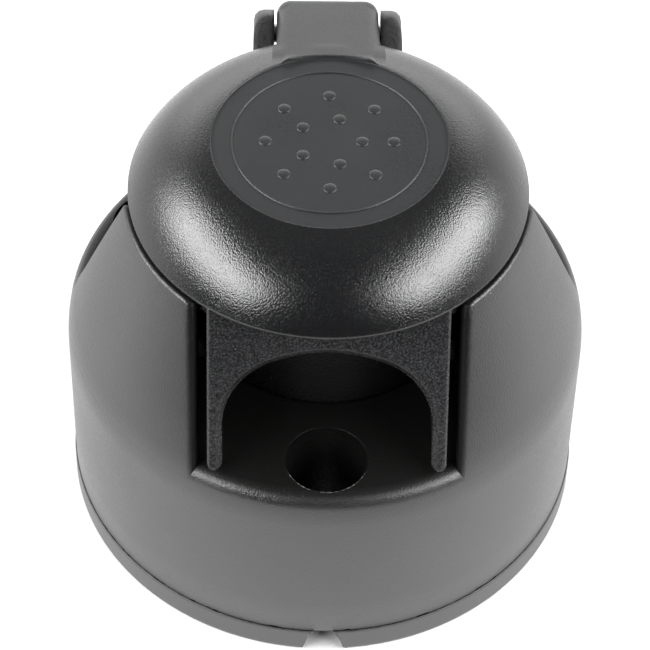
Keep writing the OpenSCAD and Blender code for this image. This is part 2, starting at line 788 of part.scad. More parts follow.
// Bar between the dome and the barrel, with rounded long edges.
module arm_bar() {
    top_run = arm_dist * cos(asin(barrel_r / arm_dist));
    intersection() {
        rotate(90) side_extrude(arm_w)
            polygon([[disc_r - 4, lid_z + dome_h / 2], [disc_r - 4, arm_start[1] + 1.5],
                     arm_start,
                     arm_start + top_run * [cos(arm_tilt), sin(arm_tilt)],
                     [hinge_y, hinge_z], [hinge_y - barrel_r + 0.4, hinge_z + 1.2],
                     [hinge_y - barrel_r, lid_z], [lid_r - lid_t, lid_z],
                     [lid_r - lid_t - 4, lid_z + dome_h / 2]]);
        translate([0, arm_start[0], arm_start[1]]) rotate([arm_tilt, 0, 0])
            translate([0, -cut - 8, 0]) rotate([-90, 0, 0])
                linear_extrude(height = top_run + barrel_r + 12) {
                    translate([-arm_half, arm_edge_r]) square([arm_w, 30]);
                    translate([-arm_half + arm_edge_r, 0]) square([arm_w - 2 * arm_edge_r, 30]);
                    for (side = [-1, 1])
                        translate([side * (arm_half - arm_edge_r), arm_edge_r])
                            circle(r = arm_edge_r, $fn = 48);
                }
    }
}

module barrel() {
    edge = barrel_edge_r;
    translate([-arm_half, hinge_y, hinge_z]) rotate([0, 90, 0]) rotate_extrude() {
        square([barrel_r - edge, arm_w]);
        translate([0, edge]) square([barrel_r, arm_w - 2 * edge]);
        for (z = [edge, arm_w - edge])
            translate([barrel_r - edge, z]) circle(r = edge, $fn = 48);
    }
}

// Ring under the dome that holds the seal.
module seal_holder() {
    groove_in = lid_seal_r - fit / 2;
    groove_out = lid_seal_r + lid_seal_w + fit / 2;
    seal_top = rim_z + loose + lid_seal_h;
    rotate_extrude() difference() {
        intersection() {
            translate([groove_in - rib_t, lid_z + 0.9])
                square([groove_out - groove_in + 2 * rib_t, dome_h]);
            dome_section(0.2, lid_z);
        }
        translate([groove_in, lid_z]) square([groove_out - groove_in, seal_top - lid_z + fit / 2]);
    }
}

module lid() {
    nose_w = 8;
    color("#2d2e30")
    difference() {
        union() {
            difference() {
                union() {
                    rotate_extrude() dome_section(0, lid_z);
                    rotate_extrude() dome_edge_section();
                    arm_bar();
                }
                rotate_extrude() dome_section(lid_t, lid_z - cut);
                translate([0, 0, disc_z]) cylinder(r = disc_r, h = dome_h);
            }
            barrel();
            seal_holder();
            // nose that catches the plug
            translate([-nose_w / 2, -cup_r + 1.4, rim_z - 0.8])
                cube([nose_w, 2.4, disc_z - lid_t / 2 - rim_z + 0.8]);
        }
        translate([-arm_w, hinge_y, hinge_z]) rotate([0, 90, 0])
            cylinder(r = pin_r + running, h = 2 * arm_w);
        along_hinge(-pocket_half, pocket_half) circle(r = pocket_r);
        translate([-pocket_half, hinge_y - barrel_r - cut, hinge_z - barrel_r - cut])
            cube([2 * pocket_half, 2 * (barrel_r + cut), barrel_r + cut]);
        translate([coil_half - 1, hinge_y - barrel_r - cut, hinge_z + coil_r - 0.8])
            cube([2, barrel_r + cut, 1.6]);
    }
}

module lid_seal() {
    color("#3a3a3a")
        ring(lid_seal_r + lid_seal_w, lid_seal_r, rim_z + loose, rim_z + loose + lid_seal_h);
}

outer_shell();
base_gasket();
socket_body();
contact_insert();
insert_seal();
for (i = [1:13]) contact(i);
terminal_screws();
contact_lock();
rear_cap();
cap_gasket();
cable_grommet();
body_seal();
assembly_screws();
hinge_pin();
lid_spring();
lid();
lid_seal();
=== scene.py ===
import bpy, bmesh, json, math
from mathutils import Vector, Matrix, noise


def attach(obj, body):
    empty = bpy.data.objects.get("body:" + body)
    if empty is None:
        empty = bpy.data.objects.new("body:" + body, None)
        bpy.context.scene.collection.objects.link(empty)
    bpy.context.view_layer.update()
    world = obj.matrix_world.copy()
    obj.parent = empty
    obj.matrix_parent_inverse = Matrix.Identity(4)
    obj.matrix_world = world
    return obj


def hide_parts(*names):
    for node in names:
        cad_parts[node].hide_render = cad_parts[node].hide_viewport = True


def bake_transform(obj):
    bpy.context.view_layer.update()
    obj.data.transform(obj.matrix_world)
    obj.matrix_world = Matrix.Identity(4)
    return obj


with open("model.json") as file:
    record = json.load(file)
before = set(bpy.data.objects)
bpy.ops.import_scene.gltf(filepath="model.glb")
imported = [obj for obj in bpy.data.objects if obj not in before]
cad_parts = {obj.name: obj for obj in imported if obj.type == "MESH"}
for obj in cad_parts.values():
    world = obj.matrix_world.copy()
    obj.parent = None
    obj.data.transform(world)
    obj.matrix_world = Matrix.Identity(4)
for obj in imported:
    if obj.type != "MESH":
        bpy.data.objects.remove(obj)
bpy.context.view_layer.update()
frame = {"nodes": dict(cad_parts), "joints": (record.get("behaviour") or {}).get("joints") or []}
print("frame loaded")

# lengths in the dictionaries of pieces are millimetres; looks, lamps and the camera are in metres
mm = 0.001
creaseAngle = 32
nearAxis = 0.001
weldReach = 1e-7


cameraSpot = {"place": (-0.0068, -0.31305, 0.39303),
              "right": (0.99987, -0.00316, 0.01599),
              "up": (-0.00807, 0.75632, 0.65415),
              "lens": 166.15, "sensor": 36.0, "clip": (0.01, 20.0)}

def makeCamera():
    data = bpy.data.cameras.new("camera")
    data.lens = cameraSpot["lens"]
    data.sensor_width = cameraSpot["sensor"]
    data.clip_start, data.clip_end = cameraSpot["clip"]
    camera = bpy.data.objects.new("camera", data)
    bpy.context.scene.collection.objects.link(camera)
    right = Vector(cameraSpot["right"]).normalized()
    up = Vector(cameraSpot["up"])
    up = (up - right * up.dot(right)).normalized()
    turn = Matrix((right, up, right.cross(up))).transposed().to_4x4()
    camera.matrix_world = Matrix.Translation(cameraSpot["place"]) @ turn
    bpy.context.scene.camera = camera

makeCamera()
print("camera placed")


def newMaterial(name):
    material = bpy.data.materials.new(name)
    material.use_nodes = True
    return material, material.node_tree, material.node_tree.nodes["Principled BSDF"]

def feed(tree, socket, value):
    # sets a socket to a number or colour, or links it to another node's output
    if isinstance(value, (int, float)):
        socket.default_value = value
    elif isinstance(value, tuple):
        socket.default_value = (*value, 1)
    else:
        tree.links.new(value, socket)

def addNode(tree, kind, settings=None, **links):
    # settings are socket values or node properties; links feed sockets, by name or as s0, s1 by number
    node = tree.nodes.new(kind)
    for key, value in (settings or {}).items():
        if key in node.inputs:
            node.inputs[key].default_value = value
        else:
            setattr(node, key, value)
    for key, source in links.items():
        byNumber = key[0] == "s" and key[1:].isdigit()
        tree.links.new(source, node.inputs[int(key[1:]) if byNumber else key])
    return node

def calc(tree, operation, a, b=0.0, clamp=False):
    node = tree.nodes.new("ShaderNodeMath")
    node.operation, node.use_clamp = operation, clamp
    feed(tree, node.inputs[0], a)
    feed(tree, node.inputs[1], b)
    return node.outputs[0]

def ramp(tree, value, fromLow, fromHigh, toLow, toHigh):
    settings = {"From Min": fromLow, "From Max": fromHigh, "To Min": toLow, "To Max": toHigh}
    return addNode(tree, "ShaderNodeMapRange", settings, Value=value).outputs["Result"]

def between(tree, value, low, high):
    above = calc(tree, "GREATER_THAN", value, low)
    return calc(tree, "MULTIPLY", above, calc(tree, "LESS_THAN", value, high))

def blendColor(tree, amount, first, second):
    node = tree.nodes.new("ShaderNodeMix")
    node.data_type = "RGBA"
    feed(tree, node.inputs["Factor"], amount)
    feed(tree, node.inputs["A"], first)
    feed(tree, node.inputs["B"], second)
    return node.outputs["Result"]

def makeNoise(tree, place, scale, detail, roughness=0.5):
    settings = {"Scale": scale, "Detail": detail, "Roughness": roughness}
    return addNode(tree, "ShaderNodeTexNoise", settings, Vector=place).outputs["Fac"]

def splitPlace(tree):
    # the object's coordinates whole, as x, y and z, and as the distance from the Z axis
    place = tree.nodes.new("ShaderNodeTexCoord").outputs["Object"]
    axes = addNode(tree, "ShaderNodeSeparateXYZ", {}, s0=place).outputs
    squares = [calc(tree, "MULTIPLY", axes[k], axes[k]) for k in "XY"]
    return {"place": place, "axes": axes, "reach": calc(tree, "SQRT", calc(tree, "ADD", *squares))}


# the part of a noise's range that is stretched to the full change, wide or narrow
wideSpan = (0.3, 0.7)
narrowSpan = (0.35, 0.65)

def basePaint(tree, spot, look):
    # sparkling fine grain and cloudy gloss; the later steps change what this dictionary holds
    grain = makeNoise(tree, spot["place"], look["grainScale"], look["grainDetail"], look["grainRoughness"])
    cloud = makeNoise(tree, spot["place"], look["cloudScale"], look["cloudDetail"])
    waves = makeNoise(tree, spot["place"], look["cloudScale"] * look["waveScale"], look["waveDetail"])
    rough, spread = look["roughness"], look["glossSpread"]
    gloss = ramp(tree, cloud, *wideSpan, rough - spread, rough + spread)
    sparkle = ramp(tree, grain, *narrowSpan, -look["grainGloss"], look["grainGloss"])
    other = tuple(c * look["toneChange"] for c in look["color"])
    color = blendColor(tree, ramp(tree, cloud, *narrowSpan, 0.0, 1.0), look["color"], other)
    fleck = ramp(tree, grain, *wideSpan, 1 - look["fleck"], 1 + look["fleck"])
    flecked = addNode(tree, "ShaderNodeVectorMath", {"operation": "MULTIPLY"}, s0=color, s1=fleck)
    return {"color": flecked.outputs[0], "gloss": calc(tree, "ADD", gloss, sparkle),
            "height": calc(tree, "ADD", grain, calc(tree, "MULTIPLY", waves, look["waveShare"])),
            "shine": look["specular"], "bump": look["bump"], "edge": look["edge"]}

def shift(tree, paint, key, mask, change):
    paint[key] = calc(tree, "ADD", paint[key], calc(tree, "MULTIPLY", mask, change))

def paintShadeInside(tree, spot, look, paint):
    # painted shade: smoother, blacker and less shiny inside the windows, wells and hollow and towards the
    # windows' sides, where little light falls
    skinShade = look["skinShade"]
    unshaded = addNode(tree, "ShaderNodeAttribute", {"attribute_name": "skinShade"}).outputs["Fac"]
    paint["color"] = blendColor(tree, unshaded, skinShade["color"], paint["color"])
    shift(tree, paint, "gloss", calc(tree, "SUBTRACT", 1.0, unshaded), skinShade["roughness"] - look["roughness"])
    paint["shine"] = ramp(tree, unshaded, 0.0, 1.0, skinShade["specular"], look["specular"])

def paintDust(tree, spot, look, paint):
    # a few specks of pale dust
    cells = addNode(tree, "ShaderNodeTexVoronoi", {"Scale": look["dustScale"]}, Vector=spot["place"])
    pick = addNode(tree, "ShaderNodeSeparateColor", {}, s0=cells.outputs["Color"])
    small = calc(tree, "LESS_THAN", cells.outputs["Distance"], look["dustSize"] * look["dustScale"])
    chosen = calc(tree, "GREATER_THAN", pick.outputs[0], 1 - look["dustShare"])
    speck = calc(tree, "MULTIPLY", small, chosen)
    paint["color"] = blendColor(tree, speck, paint["color"], look["dustColor"])

def paintCupShade(tree, spot, look, paint):
    # painted shade: dull and black on the wall of the cup, where the windows look in and little light reaches
    cupShade = look["cupShade"]
    onWall = between(tree, spot["reach"], cupShade["near"], cupShade["far"])
    onWall = calc(tree, "MULTIPLY", onWall, calc(tree, "LESS_THAN", spot["axes"]["Z"], cupShade["top"]))
    paint["color"] = blendColor(tree, onWall, paint["color"], cupShade["color"])
    paint["shine"] = ramp(tree, onWall, 0.0, 1.0, look["specular"], cupShade["specular"])

def paintArm(tree, spot, look, paint):
    # the hinge's arm and ears are duller and smoother, with rounder edges
    arm = look["arm"]
    within = calc(tree, "LESS_THAN", calc(tree, "ABSOLUTE", spot["axes"]["X"]), arm["half"])
    behind = ramp(tree, spot["axes"]["Y"], arm["start"], arm["end"], 0.0, 1.0)
    onArm = calc(tree, "MULTIPLY", behind, within)
    shift(tree, paint, "shine", onArm, arm["specular"] - look["specular"])
    shift(tree, paint, "gloss", onArm, arm["duller"])
    paint["bump"] = ramp(tree, onArm, 0.0, 1.0, look["bump"], arm["bump"])
    paint["edge"] = ramp(tree, onArm, 0.0, 1.0, look["edge"], arm["edge"])

def paintDisc(tree, spot, look, paint):
    # the smooth flat disc on top of the lid
    disc = look["disc"]
    onDisc = calc(tree, "MULTIPLY", calc(tree, "LESS_THAN", spot["reach"], disc["radius"]),
                  calc(tree, "GREATER_THAN", spot["axes"]["Z"], disc["height"]))
    paint["color"] = blendColor(tree, onDisc, paint["color"], disc["color"])
    shift(tree, paint, "gloss", onDisc, disc["roughness"] - look["roughness"])
    shift(tree, paint, "bump", onDisc, -look["bump"] * (1 - disc["grainShare"]))

def paintSeam(tree, spot, look, paint):
    # dark ragged dashes along the parting line at the foot
    seam = look["seam"]
    dashes = makeNoise(tree, spot["place"], seam["scale"], seam["detail"])
    onSeam = between(tree, spot["axes"]["Z"], seam["from"], seam["to"])
    onSeam = calc(tree, "MULTIPLY", onSeam, calc(tree, "GREATER_THAN", dashes, seam["above"]))
    paint["color"] = blendColor(tree, onSeam, paint["color"], seam["color"])
    paint["shine"] = calc(tree, "SUBTRACT", paint["shine"], onSeam, clamp=True)

# each step runs where the look has its entry, in this order
paintSteps = {"skinShade": paintShadeInside, "dustShare": paintDust, "cupShade": paintCupShade, "arm": paintArm,
              "disc": paintDisc, "seam": paintSeam}

def makePlastic(name, look):
    # moulded plastic or rubber
    material, tree, shader = newMaterial(name)
    spot = splitPlace(tree)
    paint = basePaint(tree, spot, look)
    for key, step in paintSteps.items():
        if key in look:
            step(tree, spot, look, paint)
    edge = addNode(tree, "ShaderNodeBevel", {"Radius": look["edge"]})
    feed(tree, edge.inputs["Radius"], paint["edge"])
    bump = addNode(tree, "ShaderNodeBump", {"Distance": look["bumpDepth"]},
                   Height=paint["height"], Normal=edge.outputs["Normal"])
    feed(tree, bump.inputs["Strength"], paint["bump"])
    tree.links.new(paint["color"], shader.inputs["Base Color"])
    tree.links.new(paint["gloss"], shader.inputs["Roughness"])
    tree.links.new(bump.outputs["Normal"], shader.inputs["Normal"])
    shader.inputs["Specular IOR Level"].default_value = look["specular"]
    feed(tree, shader.inputs["Specular IOR Level"], paint["shine"])
    shader.inputs["IOR"].default_value = look["ior"]
    return material

def makeMetal(name, look):
    material, tree, shader = newMaterial(name)
    place = tree.nodes.new("ShaderNodeTexCoord").outputs["Object"]
    cloud = makeNoise(tree, place, look["cloudScale"], look["cloudDetail"])
    fine = makeNoise(tree, place, look["grainScale"], look["grainDetail"])
    other = tuple(c * look["toneChange"] for c in look["color"])
    rough, spread = look["roughness"], look["glossSpread"]
    tree.links.new(blendColor(tree, cloud, look["color"], other), shader.inputs["Base Color"])
    tree.links.new(ramp(tree, fine, *wideSpan, rough - spread, rough + spread), shader.inputs["Roughness"])
    bump = addNode(tree, "ShaderNodeBump", {"Strength": look["bump"], "Distance": look["bumpDepth"]},
                   Height=fine)
    tree.links.new(bump.outputs["Normal"], shader.inputs["Normal"])
    shader.inputs["Metallic"].default_value = 1.0
    return material

plainLook = {"glossSpread": 0.03, "toneChange": 1.18, "cloudScale": 60.0, "cloudDetail": 3.0,
             "waveScale": 7, "waveDetail": 2.0, "waveShare": 0.1, "grainDetail": 1.5, "grainRoughness": 0.6,
             "dustScale": 210.0, "dustSize": 0.00012, "dustShare": 0.03, "dustColor": (0.5, 0.5, 0.48),
             "specular": 0.5, "ior": 1.5, "fleck": 0.2, "grainGloss": 0.05, "bumpDepth": 0.0001,
             "edge": 0.00015}
shellLook = {**plainLook, "color": (0.0098, 0.0095, 0.0097), "roughness": 0.36, "grainScale": 3700.0,
             "bump": 0.7, "specular": 1.0, "ior": 1.6, "fleck": 0.5,
             "seam": {"from": 0.0047, "to": 0.0051, "scale": 420.0, "detail": 3.0, "above": 0.56,
                      "color": (0.0, 0.0, 0.0)},
             # the skin shade look is painted shade inside the windows, wells and hollow
             "skinShade": {"color": (0.0048, 0.0046, 0.0044), "roughness": 0.4, "specular": 0.22}}
gasketLook = {**plainLook, "color": (0.0135, 0.0131, 0.0133), "roughness": 0.4, "grainScale": 3700.0,
              "bump": 0.6, "fleck": 0.5, "specular": 1.0, "ior": 1.6}
lidLook = {**plainLook, "color": (0.0045, 0.0047, 0.0052), "roughness": 0.22, "grainScale": 3700.0,
           "bump": 0.54, "specular": 0.84, "edge": 0.0003,
           "arm": {"start": 0.0165, "end": 0.0185, "half": 0.0087, "specular": 0.35, "duller": 0.13,
                   "bump": 0.15, "edge": 0.0014},
           "disc": {"radius": 0.01785, "height": 0.0729, "color": (0.0165, 0.0172, 0.0183),
                    "roughness": 0.34, "grainShare": 0.2}}
bodyLook = {**plainLook, "specular": 0.8, "color": (0.0175, 0.0177, 0.0188), "roughness": 0.22,
            "grainScale": 2900.0, "bump": 1.3, "fleck": 0.8, "edge": 0.0005,
            "arm": {"start": 0.0285, "end": 0.0305, "half": 0.1, "specular": 1.0, "duller": 0.12,
                    "bump": 0.2, "edge": 0.0016},
            # painted shade on the cup's wall inside the windows
            "cupShade": {"near": 0.0189, "far": 0.0213, "top": 0.057, "specular": 0.3,
                     "color": (0.012, 0.0121, 0.0128)}}
rubberLook = {**plainLook, "color": (0.015, 0.015, 0.016), "roughness": 0.6, "grainScale": 3000.0,
              "bump": 0.25}
# painted shade: a near-black copy of the seal rubber, for the body seal that sits in shade
shadeLook = {**rubberLook, "color": (0.003, 0.003, 0.0033), "specular": 0.15}
lockLook = {**plainLook, "color": (0.62, 0.6, 0.54), "roughness": 0.45, "grainScale": 3000.0, "bump": 0.1,
            "dustShare": 0.0}
plainMetal = {"cloudScale": 300.0, "cloudDetail": 4.0, "grainScale": 2500.0, "grainDetail": 2.0,
              "glossSpread": 0.07, "bump": 0.2, "bumpDepth": 0.00003}
brassLook = {**plainMetal, "color": (0.72, 0.52, 0.24), "toneChange": 0.8, "roughness": 0.25}
steelLook = {**plainMetal, "color": (0.6, 0.61, 0.63), "toneChange": 0.85, "roughness": 0.33}
finishes = {
    "shell": makePlastic("shellPlastic", shellLook),
    "gasket": makePlastic("gasketRubber", gasketLook),
    "lid": makePlastic("lidPlastic", lidLook),
    "body": makePlastic("bodyPlastic", bodyLook),
    "rubber": makePlastic("sealRubber", rubberLook),
    "shade": makePlastic("shadeRubber", shadeLook),
    "lock": makePlastic("lockPlastic", lockLook),
    "brass": makeMetal("turnedBrass", brassLook),
    "steel": makeMetal("zincSteel", steelLook),
}
nodeFinishes = {"outer_shell": "shell", "base_gasket": "gasket", "lid": "lid", "contact_lock": "lock",
                "terminal_screws": "steel", "assembly_screws": "steel", "hinge_pin": "steel",
                "lid_spring": "steel", "insert_seal": "rubber", "cap_gasket": "rubber",
                "cable_grommet": "rubber", "body_seal": "shade", "lid_seal": "rubber"}

def finishOf(node):
    if node.startswith("contact_") and node.removeprefix("contact_").isdigit():
        return "brass"
    return nodeFinishes.get(node, "body")

for name, piece in frame["nodes"].items():
    piece.data.materials.clear()
    piece.data.materials.append(finishes[finishOf(name)])
print("materials made")


def buildPiece(name, points, faces, finish, sharpAngle=creaseAngle):
    mesh = bpy.data.meshes.new(name)
    mesh.from_pydata([tuple(c * mm for c in p) for p in points], [], faces)
    work = bmesh.new()
    work.from_mesh(mesh)
    bmesh.ops.remove_doubles(work, verts=work.verts, dist=weldReach)
    bmesh.ops.recalc_face_normals(work, faces=work.faces)
    work.to_mesh(mesh)
    work.free()
    mesh.shade_smooth()
    mesh.set_sharp_from_angle(angle=math.radians(sharpAngle))
    mesh.materials.append(finish)
    piece = bpy.data.objects.new(name, mesh)
    bpy.context.scene.collection.objects.link(piece)
    return piece

def arcPoints(x, y, radius, start, end, steps):
    # points on an arc about a middle, both ends included
    angles = [start + (end - start) * k / steps for k in range(steps + 1)]
    return [(x + radius * math.cos(a), y + radius * math.sin(a)) for a in angles]

def loft(rings, closedPath=False):
    # rings of equal length; faces between neighbours, and caps unless the path closes on itself
    count = len(rings[0])
    points = [p for ring in rings for p in ring]
    faces = []
    steps = len(rings) if closedPath else len(rings) - 1
    for k in range(steps):
        here, there = k * count, (k + 1) % len(rings) * count
        for i in range(count):
            j = (i + 1) % count
            faces.append((here + i, here + j, there + j, there + i))
    if not closedPath:
        faces.append(tuple(range(count - 1, -1, -1)))
        faces.append(tuple(range((len(rings) - 1) * count, len(rings) * count)))
    return points, faces

def lathe(profile, segments):
    # closed (radius, height) outline turned about the Z axis
    rings = []
    for k in range(segments):
        a = 2 * math.pi * k / segments
        rings.append([(r * math.cos(a), r * math.sin(a), z) for r, z in profile])
    return loft(rings, closedPath=True)

def applyModifiers(piece):
    graph = bpy.context.evaluated_depsgraph_get()
    mesh = bpy.data.meshes.new_from_object(piece.evaluated_get(graph))
    piece.modifiers.clear()
    piece.data = mesh
    return piece

def cutWith(piece, tools, operation="DIFFERENCE"):
    for tool in tools:
        modifier = piece.modifiers.new("cut", "BOOLEAN")
        modifier.operation, modifier.solver, modifier.object = operation, "EXACT", tool
    applyModifiers(piece)
    for tool in tools:
        bpy.data.objects.remove(tool)
    piece.data.set_sharp_from_angle(angle=math.radians(creaseAngle))
    return piece


def newTree(name, sockets):
    # a geometry tree with named inputs and one geometry output
    tree = bpy.data.node_groups.new(name, "GeometryNodeTree")
    for label, kind in sockets:
        tree.interface.new_socket(label, in_out="INPUT", socket_type="NodeSocket" + kind)
    tree.interface.new_socket("Geometry", in_out="OUTPUT", socket_type="NodeSocketGeometry")
    return tree, tree.nodes.new("NodeGroupInput").outputs, tree.nodes.new("NodeGroupOutput")

def closeTree(tree, given, made, geometry):
    # hands on real geometry that wears the given finish
    solid = addNode(tree, "GeometryNodeRealizeInstances", {}, s0=geometry)
    finish = addNode(tree, "GeometryNodeSetMaterial", {}, Geometry=solid.outputs[0], Material=given["Finish"])
    tree.links.new(finish.outputs[0], made.inputs[0])
    return tree

def grow(name, tree, values):
    # an object made by a tree, as a plain mesh
    piece = bpy.data.objects.new(name, bpy.data.meshes.new(name))
    bpy.context.scene.collection.objects.link(piece)
    modifier = piece.modifiers.new("tree", "NODES")
    modifier.node_group = tree
    for item in tree.interface.items_tree:
        if item.in_out == "INPUT":
            modifier[item.identifier] = values[item.name]
    return applyModifiers(piece)

def makeTurnTree():
    # copies of an object round the Z axis, each turned to face outwards
    tree, given, made = newTree("turnedCopies", [("Source", "Object"), ("Count", "Int"),
                                                 ("Start angle", "Float"), ("Radius", "Float"),
                                                 ("Finish", "Material")])
    index = tree.nodes.new("GeometryNodeInputIndex").outputs[0]
    share = calc(tree, "DIVIDE", index, given["Count"])
    turned = addNode(tree, "ShaderNodeMath", {"operation": "MULTIPLY_ADD"}, s0=share, s2=given["Start angle"])
    turned.inputs[1].default_value = 2 * math.pi
    turn = turned.outputs[0]
    onX = calc(tree, "MULTIPLY", calc(tree, "COSINE", turn), given["Radius"])
    onY = calc(tree, "MULTIPLY", calc(tree, "SINE", turn), given["Radius"])
    place = addNode(tree, "ShaderNodeCombineXYZ", {}, X=onX, Y=onY)
    spots = addNode(tree, "GeometryNodePoints", {}, Count=given["Count"], Position=place.outputs[0])
    angle = addNode(tree, "ShaderNodeCombineXYZ", {}, Z=turn)
    source = addNode(tree, "GeometryNodeObjectInfo", {}, Object=given["Source"])
    copies = addNode(tree, "GeometryNodeInstanceOnPoints", {}, Points=spots.outputs[0],
                     Instance=source.outputs["Geometry"], Rotation=angle.outputs[0])
    return closeTree(tree, given, made, copies.outputs[0])

turnTree = makeTurnTree()

def turnedCopies(name, source, count, startAngle, radius, finish):
    piece = grow(name, turnTree, {"Source": source, "Count": count, "Start angle": math.radians(startAngle),
                                  "Radius": radius * mm, "Finish": finish})
    bpy.data.objects.remove(source)
    return piece

def settle(piece, body, node):
    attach(piece, body)
    if node:
        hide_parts(node)


shell = {"wallRadius": 40.8, "bandTop": 4.8, "shoulderHeight": 31.4, "shoulderRadius": 22.5,
         "rimRadius": 31.0, "rimHeight": 62.6, "wall": 2.4, "frontSide": (19.4, 1.1),
         "backSide": (18.1, 0.3), "shelf": 37.5,
         "deck": 2.2, "lipRadius": 2.6, "deckHole": 22.0, "rimEdge": 0.5, "notchFloor": 53.8,
         "footEdge": 0.12, "footCut": 0.03, "footInside": 0.2, "wallLevels": (12, 20, 27),
         "hollowLevels": (34.5, 33.7, 32.9, 32.1), "hollowLow": 20,
         "segments": 288, "shoulderSteps": 14, "lipSteps": 12}
well = {"angles": (-90, 30, 150), "circle": 32.332, "radius": 6.25, "edge": 0.03, "low": 33.0, "high": 39.0,
        "steps": 96}

arcX = shell["wallRadius"] - shell["shoulderRadius"]
rimIn, rimUp = shell["rimRadius"] - arcX, shell["rimHeight"] - shell["shoulderHeight"]
lean = math.atan2(rimUp, rimIn) - math.acos(shell["shoulderRadius"] / math.hypot(rimIn, rimUp))

def shellRadius(z, inset=0.0):
    # radius of the shell at a height, or of a skin some way inside it
    arc = shell["shoulderRadius"] - inset
    if z <= shell["shoulderHeight"]:
        return shell["wallRadius"] - inset
    endZ = shell["shoulderHeight"] + arc * math.sin(lean)
    if z <= endZ:
        return arcX + math.sqrt(arc ** 2 - (z - shell["shoulderHeight"]) ** 2)
    return arcX + arc * math.cos(lean) - (z - endZ) * math.tan(lean)

def makeLowerShell():
    # wall, shoulder, lip and deck, with the three wells cut through the deck
    out, foot = shell["wallRadius"], shell["bandTop"]
    arc, low = shell["shoulderRadius"], shell["shoulderHeight"]
    shelf, lip, edge, cut = shell["shelf"], shell["lipRadius"], shell["footEdge"], shell["footCut"]
    inner, inside, under = out - shell["wall"], shell["footInside"], shelf - shell["deck"]
    lipZ = shelf - lip
    lipX = arcX + math.sqrt((arc - lip) ** 2 - (lipZ - low) ** 2)
    lipStart = math.atan2(lipZ - low, lipX - arcX)
    outline = [(out - edge, foot), (out - cut, foot + cut), (out, foot + edge)]
    outline += [(out, z) for z in (*shell["wallLevels"], low)]
    outline += arcPoints(arcX, low, arc, 0.0, lipStart, shell["shoulderSteps"])[1:-1]
    outline += arcPoints(lipX, lipZ, lip, lipStart, math.pi / 2, shell["lipSteps"])
    outline += [(shell["deckHole"], shelf), (shell["deckHole"], under)]
    hollow = (under, *shell["hollowLevels"], low, shell["hollowLow"])
    outline += [(shellRadius(z, shell["wall"]), z) for z in hollow]
    outline += [(inner, foot + inside), (inner + inside, foot)]
    body = buildPiece("shellBody", *lathe(outline, shell["segments"]), finishes["shell"])
    narrow, wide = well["radius"], well["radius"] + well["edge"]
    levels = ((narrow, well["low"]), (narrow, shelf - well["edge"]), (wide, shelf), (wide, well["high"]))
    tools = []
    for a in map(math.radians, well["angles"]):
        x, y = well["circle"] * math.cos(a), well["circle"] * math.sin(a)
        circles = [(arcPoints(x, y, r, 0.0, 2 * math.pi, well["steps"])[:-1], z) for r, z in levels]
        rings = [[(*p, z) for p in circle] for circle, z in circles]
        tools.append(buildPiece("well", *loft(rings), finishes["shell"]))
    return cutWith(body, tools)

# a level is a height, how far the outer face steps back, and how far the sides do
post = {"footLevels": ((34.2, 0.03, 0.0), (35.6, 0.01, 0.0)), "low": 36.0, "lowStep": 0.5, "lowCount": 10,
        "high": 42.0, "highStep": 2.0, "clearance": 0.1, "topSteps": 5, "halfAngle": 60, "flatAngle": 150,
        "innerEdge": 0.4, "outerSteps": 20, "edgeSteps": 10, "innerEdgeSteps": 4, "innerSteps": 12,
        "sharpAngle": 40}

def cornerAngles(radius, inner, half, edge, innerEdge):
    # where the rounded outer and inner corners of a post's side are centred, as angles from its middle
    side = math.radians(post["halfAngle"])
    outA = side - math.asin((half + edge) / (radius - edge))
    return outA, side - math.asin((half + innerEdge) / (inner + innerEdge))

def postSide(radius, inner, half, edge, innerEdge):
    # outline of one half of a post's section, from its outer middle round to its inner middle
    outA, inA = cornerAngles(radius, inner, half, edge, innerEdge)
    outC = Vector((math.cos(outA), math.sin(outA))) * (radius - edge)
    inC = Vector((math.cos(inA), math.sin(inA))) * (inner + innerEdge)
    flat = math.radians(post["flatAngle"])
    points = arcPoints(0.0, 0.0, radius, 0.0, outA, post["outerSteps"])[1:-1]
    points += arcPoints(outC.x, outC.y, edge, outA, flat, post["edgeSteps"])
    points += arcPoints(inC.x, inC.y, innerEdge, flat, inA + math.pi, post["innerEdgeSteps"])
    return points + arcPoints(0.0, 0.0, inner, 0.0, inA, post["innerSteps"])[-2:0:-1]

def makePost(name, angle, topZ, sides):
    # sides holds the half width of the window and the edge radius on either side
    rounding = shell["rimEdge"]
    levels = list(post["footLevels"])
    levels += [(post["low"] + post["lowStep"] * k, 0.0, 0.0) for k in range(post["lowCount"])]
    z = post["high"]
    while z < topZ - rounding - post["clearance"]:
        levels.append((z, 0.0, 0.0))
        z += post["highStep"]
    for k in range(post["topSteps"] + 1):
        a = math.pi / 2 * k / post["topSteps"]
        inset = rounding * (1 - math.cos(a))
        levels.append((topZ - rounding + rounding * math.sin(a), inset, inset))
    rings = []
    for z, inset, sideInset in levels:
        outer, inner = shellRadius(z) - inset, shellRadius(z, shell["wall"]) + sideInset
        halves = [postSide(outer, inner, half + sideInset, edge, post["innerEdge"]) for half, edge in sides]
        ring = [(outer, 0.0)] + halves[0] + [(inner, 0.0)] + [(x, -y) for x, y in reversed(halves[1])]
        rings.append([(x, y, z) for x, y in ring])
    points, faces = loft(rings)
    a = math.radians(angle)
    points = [(x * math.cos(a) - y * math.sin(a), x * math.sin(a) + y * math.cos(a), z) for x, y, z in points]
    return buildPiece(name, points, faces, finishes["shell"], post["sharpAngle"])

# painted shade near the windows: how far from their sides it reaches, how much it darkens, how high above the
# shelf it grows, and how it fades in below the outer skin
windowShade = {"reach": 15.0, "loss": 0.42, "rise": 9.0, "skinDepth": 0.03, "postFade": 0.3, "lipFade": 0.9}

def limited(share):
    return min(1.0, max(0.0, share))

